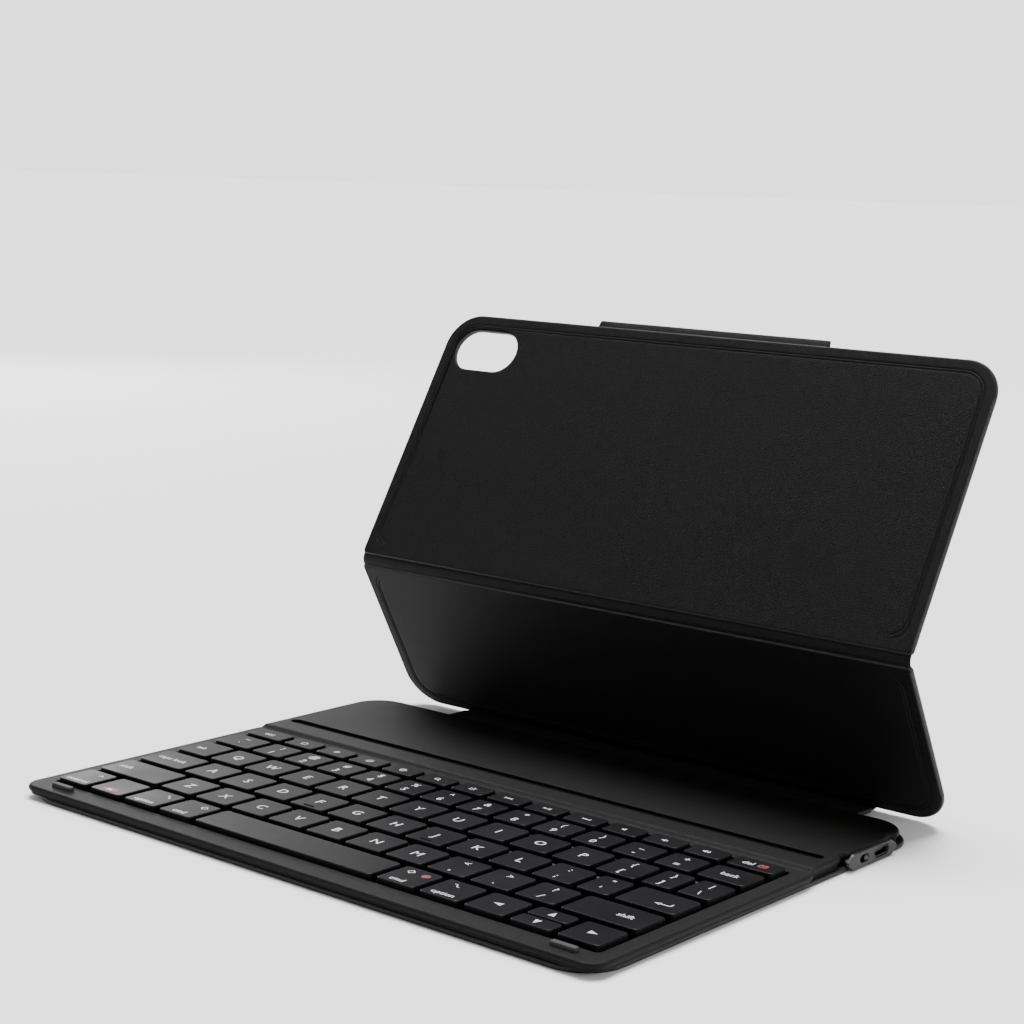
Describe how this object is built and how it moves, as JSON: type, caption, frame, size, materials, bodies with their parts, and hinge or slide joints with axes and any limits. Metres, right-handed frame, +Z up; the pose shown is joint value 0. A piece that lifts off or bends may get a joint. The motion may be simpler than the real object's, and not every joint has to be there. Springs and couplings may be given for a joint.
{
  "type": "tablet keyboard case",
  "caption": "Black folding tablet case with a thin keyboard base, a two-panel leather cover that folds into a stand, and a closure flap.",
  "frame": {"origin": "middle of the base's flat underside, on the surface that the case stands on", "axes": "+X along the case's width, to the typist's right; +Y away from the typist, towards the cover; +Z up"},
  "size_m": [0.2536, 0.2293, 0.1639],
  "materials": {
    "outer_leather": "pebbled, satin",
    "inner_lining": "fine wrinkle, satin",
    "stiff_board": "matt",
    "case_cover": "fine leather grain, satin",
    "cap_plastic": "matt",
    "switch_plastic": "matt",
    "key_plastic": "satin",
    "bumper_rubber": "matt",
    "plated_steel": "plated",
    "port_steel": "plated",
    "membrane_film": "gloss",
    "battery_foil": "foil",
    "circuit_board": "gloss"
  },
  "bodies": {
    "base": {"base_outer_skin": "outer_leather", "base_board": "stiff_board", "top_case": "case_cover", "key_plate": "plated_steel", "membrane": "membrane_film", "battery": "battery_foil", "control_board": "circuit_board", "groove_magnet": "plated_steel", "closure_plate": "plated_steel", "bumper_left": "bumper_rubber", "bumper_right": "bumper_rubber", "end_cap": "cap_plastic", "usb_port": "port_steel"},
    "power_switch": {"power_switch": "switch_plastic"},
    "spine": {"spine_skin": "outer_leather", "spine_stiffener": "stiff_board", "spine_lining": "inner_lining"},
    "lower_panel": {"lower_lining": "inner_lining", "lower_board": "stiff_board", "lower_skin": "outer_leather"},
    "upper_panel": {"upper_lining": "inner_lining", "upper_board": "stiff_board", "upper_skin": "outer_leather", "tablet_magnet": "plated_steel"},
    "flap_strip": {"flap_strip": "outer_leather"},
    "flap_tab": {"flap_tab": "outer_leather", "flap_magnet": "plated_steel"},
    "key_a": {"key_a": "key_plastic"},
    "key_b": {"key_b": "key_plastic"},
    "key_c": {"key_c": "key_plastic"},
    "key_d": {"key_d": "key_plastic"},
    "key_e": {"key_e": "key_plastic"},
    "key_f": {"key_f": "key_plastic"},
    "key_g": {"key_g": "key_plastic"},
    "key_h": {"key_h": "key_plastic"},
    "key_i": {"key_i": "key_plastic"},
    "key_j": {"key_j": "key_plastic"},
    "key_k": {"key_k": "key_plastic"},
    "key_l": {"key_l": "key_plastic"},
    "key_m": {"key_m": "key_plastic"},
    "key_n": {"key_n": "key_plastic"},
    "key_o": {"key_o": "key_plastic"},
    "key_p": {"key_p": "key_plastic"},
    "key_q": {"key_q": "key_plastic"},
    "key_r": {"key_r": "key_plastic"},
    "key_s": {"key_s": "key_plastic"},
    "key_t": {"key_t": "key_plastic"},
    "key_u": {"key_u": "key_plastic"},
    "key_v": {"key_v": "key_plastic"},
    "key_w": {"key_w": "key_plastic"},
    "key_x": {"key_x": "key_plastic"},
    "key_y": {"key_y": "key_plastic"},
    "key_z": {"key_z": "key_plastic"},
    "key_space": {"key_space": "key_plastic"},
    "function_keys": {"function_keys": "key_plastic"},
    "number_keys": {"number_keys": "key_plastic"},
    "left_modifier_keys": {"left_modifier_keys": "key_plastic"},
    "right_side_keys": {"right_side_keys": "key_plastic"},
    "bottom_left_keys": {"bottom_left_keys": "key_plastic"},
    "bottom_right_keys": {"bottom_right_keys": "key_plastic"}
  },
  "joints": [
    {"name": "spine_fold", "type": "hinge", "parent": "base", "child": "spine", "pos_m": [0, 0.09876, 0.00095], "axis": [1, 0, 0], "range_deg": [-90, 59.8]},
    {"name": "cover_fold", "type": "hinge", "parent": "spine", "child": "lower_panel", "pos_m": [0, 0.11354, 0.002], "axis": [1, 0, 0], "range_deg": [-120, 0]},
    {"name": "middle_fold", "type": "hinge", "parent": "lower_panel", "child": "upper_panel", "pos_m": [0, 0.07747, 0.0655], "axis": [1, 0, 0], "range_deg": [-45, 60]},
    {"name": "flap_root_fold", "type": "hinge", "parent": "upper_panel", "child": "flap_strip", "pos_m": [0, 0.13514, 0.16419], "axis": [-1, 0, 0], "range_deg": [-270, 0]},
    {"name": "flap_tip_fold", "type": "hinge", "parent": "flap_strip", "child": "flap_tab", "pos_m": [0, 0.12711, 0.14816], "axis": [-1, 0, 0], "range_deg": [-90, 0]},
    {"name": "power_switch_slide", "type": "slide", "parent": "base", "child": "power_switch", "axis": [0, -1, 0], "range_m": [0, 0.0022]},
    {"name": "key_a_press", "type": "slide", "parent": "base", "child": "key_a", "axis": [0, 0, -1], "range_m": [0, 0.0012], "stiffness_N_per_m": 400},
    {"name": "key_b_press", "type": "slide", "parent": "base", "child": "key_b", "axis": [0, 0, -1], "range_m": [0, 0.0012], "stiffness_N_per_m": 400},
    {"name": "key_c_press", "type": "slide", "parent": "base", "child": "key_c", "axis": [0, 0, -1], "range_m": [0, 0.0012], "stiffness_N_per_m": 400},
    {"name": "key_d_press", "type": "slide", "parent": "base", "child": "key_d", "axis": [0, 0, -1], "range_m": [0, 0.0012], "stiffness_N_per_m": 400},
    {"name": "key_e_press", "type": "slide", "parent": "base", "child": "key_e", "axis": [0, 0, -1], "range_m": [0, 0.0012], "stiffness_N_per_m": 400},
    {"name": "key_f_press", "type": "slide", "parent": "base", "child": "key_f", "axis": [0, 0, -1], "range_m": [0, 0.0012], "stiffness_N_per_m": 400},
    {"name": "key_g_press", "type": "slide", "parent": "base", "child": "key_g", "axis": [0, 0, -1], "range_m": [0, 0.0012], "stiffness_N_per_m": 400},
    {"name": "key_h_press", "type": "slide", "parent": "base", "child": "key_h", "axis": [0, 0, -1], "range_m": [0, 0.0012], "stiffness_N_per_m": 400},
    {"name": "key_i_press", "type": "slide", "parent": "base", "child": "key_i", "axis": [0, 0, -1], "range_m": [0, 0.0012], "stiffness_N_per_m": 400},
    {"name": "key_j_press", "type": "slide", "parent": "base", "child": "key_j", "axis": [0, 0, -1], "range_m": [0, 0.0012], "stiffness_N_per_m": 400},
    {"name": "key_k_press", "type": "slide", "parent": "base", "child": "key_k", "axis": [0, 0, -1], "range_m": [0, 0.0012], "stiffness_N_per_m": 400},
    {"name": "key_l_press", "type": "slide", "parent": "base", "child": "key_l", "axis": [0, 0, -1], "range_m": [0, 0.0012], "stiffness_N_per_m": 400},
    {"name": "key_m_press", "type": "slide", "parent": "base", "child": "key_m", "axis": [0, 0, -1], "range_m": [0, 0.0012], "stiffness_N_per_m": 400},
    {"name": "key_n_press", "type": "slide", "parent": "base", "child": "key_n", "axis": [0, 0, -1], "range_m": [0, 0.0012], "stiffness_N_per_m": 400},
    {"name": "key_o_press", "type": "slide", "parent": "base", "child": "key_o", "axis": [0, 0, -1], "range_m": [0, 0.0012], "stiffness_N_per_m": 400},
    {"name": "key_p_press", "type": "slide", "parent": "base", "child": "key_p", "axis": [0, 0, -1], "range_m": [0, 0.0012], "stiffness_N_per_m": 400},
    {"name": "key_q_press", "type": "slide", "parent": "base", "child": "key_q", "axis": [0, 0, -1], "range_m": [0, 0.0012], "stiffness_N_per_m": 400},
    {"name": "key_r_press", "type": "slide", "parent": "base", "child": "key_r", "axis": [0, 0, -1], "range_m": [0, 0.0012], "stiffness_N_per_m": 400},
    {"name": "key_s_press", "type": "slide", "parent": "base", "child": "key_s", "axis": [0, 0, -1], "range_m": [0, 0.0012], "stiffness_N_per_m": 400},
    {"name": "key_t_press", "type": "slide", "parent": "base", "child": "key_t", "axis": [0, 0, -1], "range_m": [0, 0.0012], "stiffness_N_per_m": 400},
    {"name": "key_u_press", "type": "slide", "parent": "base", "child": "key_u", "axis": [0, 0, -1], "range_m": [0, 0.0012], "stiffness_N_per_m": 400},
    {"name": "key_v_press", "type": "slide", "parent": "base", "child": "key_v", "axis": [0, 0, -1], "range_m": [0, 0.0012], "stiffness_N_per_m": 400},
    {"name": "key_w_press", "type": "slide", "parent": "base", "child": "key_w", "axis": [0, 0, -1], "range_m": [0, 0.0012], "stiffness_N_per_m": 400},
    {"name": "key_x_press", "type": "slide", "parent": "base", "child": "key_x", "axis": [0, 0, -1], "range_m": [0, 0.0012], "stiffness_N_per_m": 400},
    {"name": "key_y_press", "type": "slide", "parent": "base", "child": "key_y", "axis": [0, 0, -1], "range_m": [0, 0.0012], "stiffness_N_per_m": 400},
    {"name": "key_z_press", "type": "slide", "parent": "base", "child": "key_z", "axis": [0, 0, -1], "range_m": [0, 0.0012], "stiffness_N_per_m": 400},
    {"name": "key_space_press", "type": "slide", "parent": "base", "child": "key_space", "axis": [0, 0, -1], "range_m": [0, 0.0012], "stiffness_N_per_m": 500},
    {"name": "function_keys_press", "type": "slide", "parent": "base", "child": "function_keys", "axis": [0, 0, -1], "range_m": [0, 0.0012], "stiffness_N_per_m": 1500},
    {"name": "number_keys_press", "type": "slide", "parent": "base", "child": "number_keys", "axis": [0, 0, -1], "range_m": [0, 0.0012], "stiffness_N_per_m": 1500},
    {"name": "left_modifier_keys_press", "type": "slide", "parent": "base", "child": "left_modifier_keys", "axis": [0, 0, -1], "range_m": [0, 0.0012], "stiffness_N_per_m": 1500},
    {"name": "right_side_keys_press", "type": "slide", "parent": "base", "child": "right_side_keys", "axis": [0, 0, -1], "range_m": [0, 0.0012], "stiffness_N_per_m": 1500},
    {"name": "bottom_left_keys_press", "type": "slide", "parent": "base", "child": "bottom_left_keys", "axis": [0, 0, -1], "range_m": [0, 0.0012], "stiffness_N_per_m": 1500},
    {"name": "bottom_right_keys_press", "type": "slide", "parent": "base", "child": "bottom_right_keys", "axis": [0, 0, -1], "range_m": [0, 0.0012], "stiffness_N_per_m": 1500}
  ]
}
